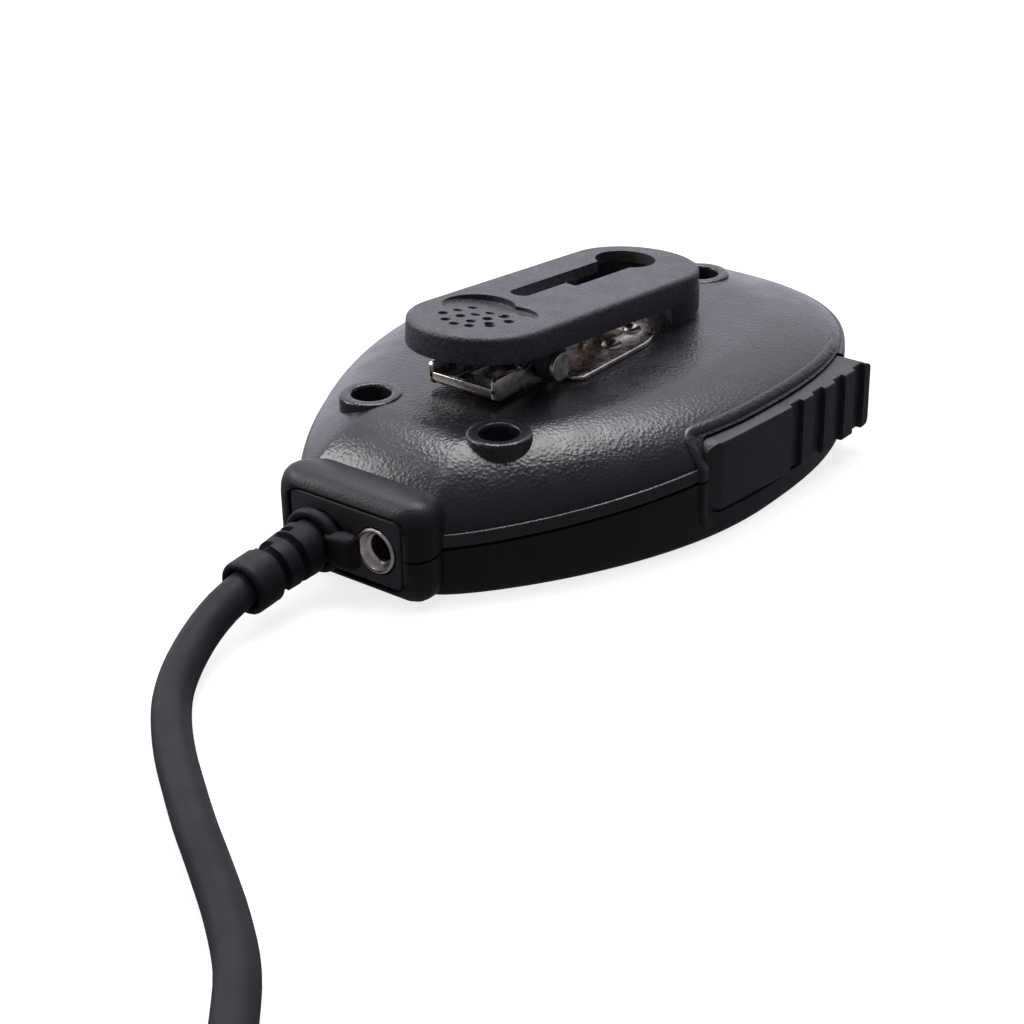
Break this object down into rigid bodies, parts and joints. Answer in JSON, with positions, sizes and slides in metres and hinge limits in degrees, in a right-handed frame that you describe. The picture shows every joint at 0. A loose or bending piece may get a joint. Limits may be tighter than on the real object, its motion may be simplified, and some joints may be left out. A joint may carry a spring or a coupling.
{
  "type": "hand microphone",
  "caption": "Hand microphone for a two-way radio: two-shell casing with loudspeaker, talk key on its side, spring clip on its back, earphone jack, and a lead with a two-pin plug.",
  "frame": {"origin": "on the front face, at the middle of the casing's length and width, which is under the clip's swivel", "axes": "+X towards the talk key's side, +Y away from the cord towards the far end, +Z out of the back, the clip side"},
  "size_m": [0.1165, 0.2413, 0.0285],
  "materials": {
    "casing": "glossy black ABS with a fine pebble grain",
    "casing_front": "satin black ABS, nearly smooth",
    "end_plate": "satin black ABS",
    "key": "satin black plastic with four grooves",
    "lever": "matt black glass-filled nylon with a fine spark grain",
    "nickel": "bright nickel plate",
    "spring_steel": "drawn spring wire",
    "screw_steel": "zinc-plated screw steel",
    "contact_brass": "plated phosphor bronze",
    "soft_rubber": "moulded black rubber",
    "cord_jacket": "smooth matt cord jacket",
    "plug_shell": "moulded black plastic",
    "insulator": "black insulating rings",
    "board": "green solder mask",
    "component": "black moulded component bodies",
    "capacitor": "plain aluminium cans",
    "header": "natural nylon",
    "wire": "thin PVC insulation",
    "plunger": "red plastic",
    "frame_steel": "zinc-plated pressed steel",
    "magnet": "sintered magnet",
    "copper_coil": "enamelled copper winding",
    "cone_paper": "black paper cone",
    "felt": "thin black cloth",
    "mic_can": "aluminium microphone can"
  },
  "bodies": {
    "casing": {"rear_shell": "casing", "front_shell": "casing_front", "end_plate": "end_plate", "case_screws": "screw_steel", "grille_cloth": "felt", "key_pin": "screw_steel", "key_seal": "soft_rubber", "switch_body": "component", "clip_washer": "spring_steel", "jack_body": "component", "jack_bush": "nickel", "jack_contacts": "contact_brass", "circuit_board": "board", "board_screws": "screw_steel", "audio_chip": "component", "capacitors": "capacitor", "wire_header": "header", "speaker_frame": "frame_steel", "speaker_yoke": "frame_steel", "speaker_magnet": "magnet", "speaker_pole": "frame_steel", "voice_coil": "copper_coil", "speaker_cone": "cone_paper", "speaker_dome": "cone_paper", "speaker_surround": "soft_rubber", "speaker_gasket": "felt", "speaker_wires": "wire", "mic_capsule": "mic_can", "mic_boot": "soft_rubber", "inner_cord": "cord_jacket", "cord_clamp": "component", "strain_relief": "soft_rubber", "lead": "cord_jacket", "lead_coil": "cord_jacket", "coil_tie": "felt", "lead_tail": "cord_jacket", "plug_body": "plug_shell", "plug_boot": "soft_rubber", "plug_pin_large": "nickel", "plug_pin_small": "nickel", "plug_insulators": "insulator"},
    "key": {"talk_key": "key"},
    "switch": {"switch_plunger": "plunger"},
    "clip_base": {"clip_base": "nickel", "clip_pin": "nickel", "clip_rivet": "nickel", "clip_spring": "spring_steel"},
    "clip_lever": {"clip_lever": "lever", "clip_tongue": "nickel"},
    "cap": {"jack_cap": "soft_rubber"}
  },
  "joints": [
    {"name": "talk_key_press", "type": "hinge", "parent": "casing", "child": "key", "pos_m": [0.0282, -0.006, 0.009], "axis": [0, 0, 1], "range_deg": [0, 2.4], "stiffness_Nm_per_rad": 1.2, "springref_deg": -1.15},
    {"name": "switch_press", "type": "slide", "parent": "casing", "child": "switch", "axis": [-1, 0, 0], "range_m": [0, 0.0009]},
    {"name": "clip_swivel", "type": "hinge", "parent": "casing", "child": "clip_base", "pos_m": [0, 0, 0.0174], "axis": [0, 0, 1], "continuous": true},
    {"name": "clip_open", "type": "hinge", "parent": "clip_base", "child": "clip_lever", "pos_m": [0, -0.0111, 0.0204], "axis": [1, 0, 0], "range_deg": [0, 20], "stiffness_Nm_per_rad": 0.12, "springref_deg": -20.05, "deforming": ["clip_spring"]},
    {"name": "cap_swing", "type": "hinge", "parent": "casing", "child": "cap", "pos_m": [-0.0036, -0.0463, 0.0062], "axis": [0, -0.9956, -0.0941], "range_deg": [-25, 110]}
  ],
  "couplings": [
    {"joint": "switch_press", "follows": "talk_key_press", "m_per_rad": 0.0205}
  ]
}
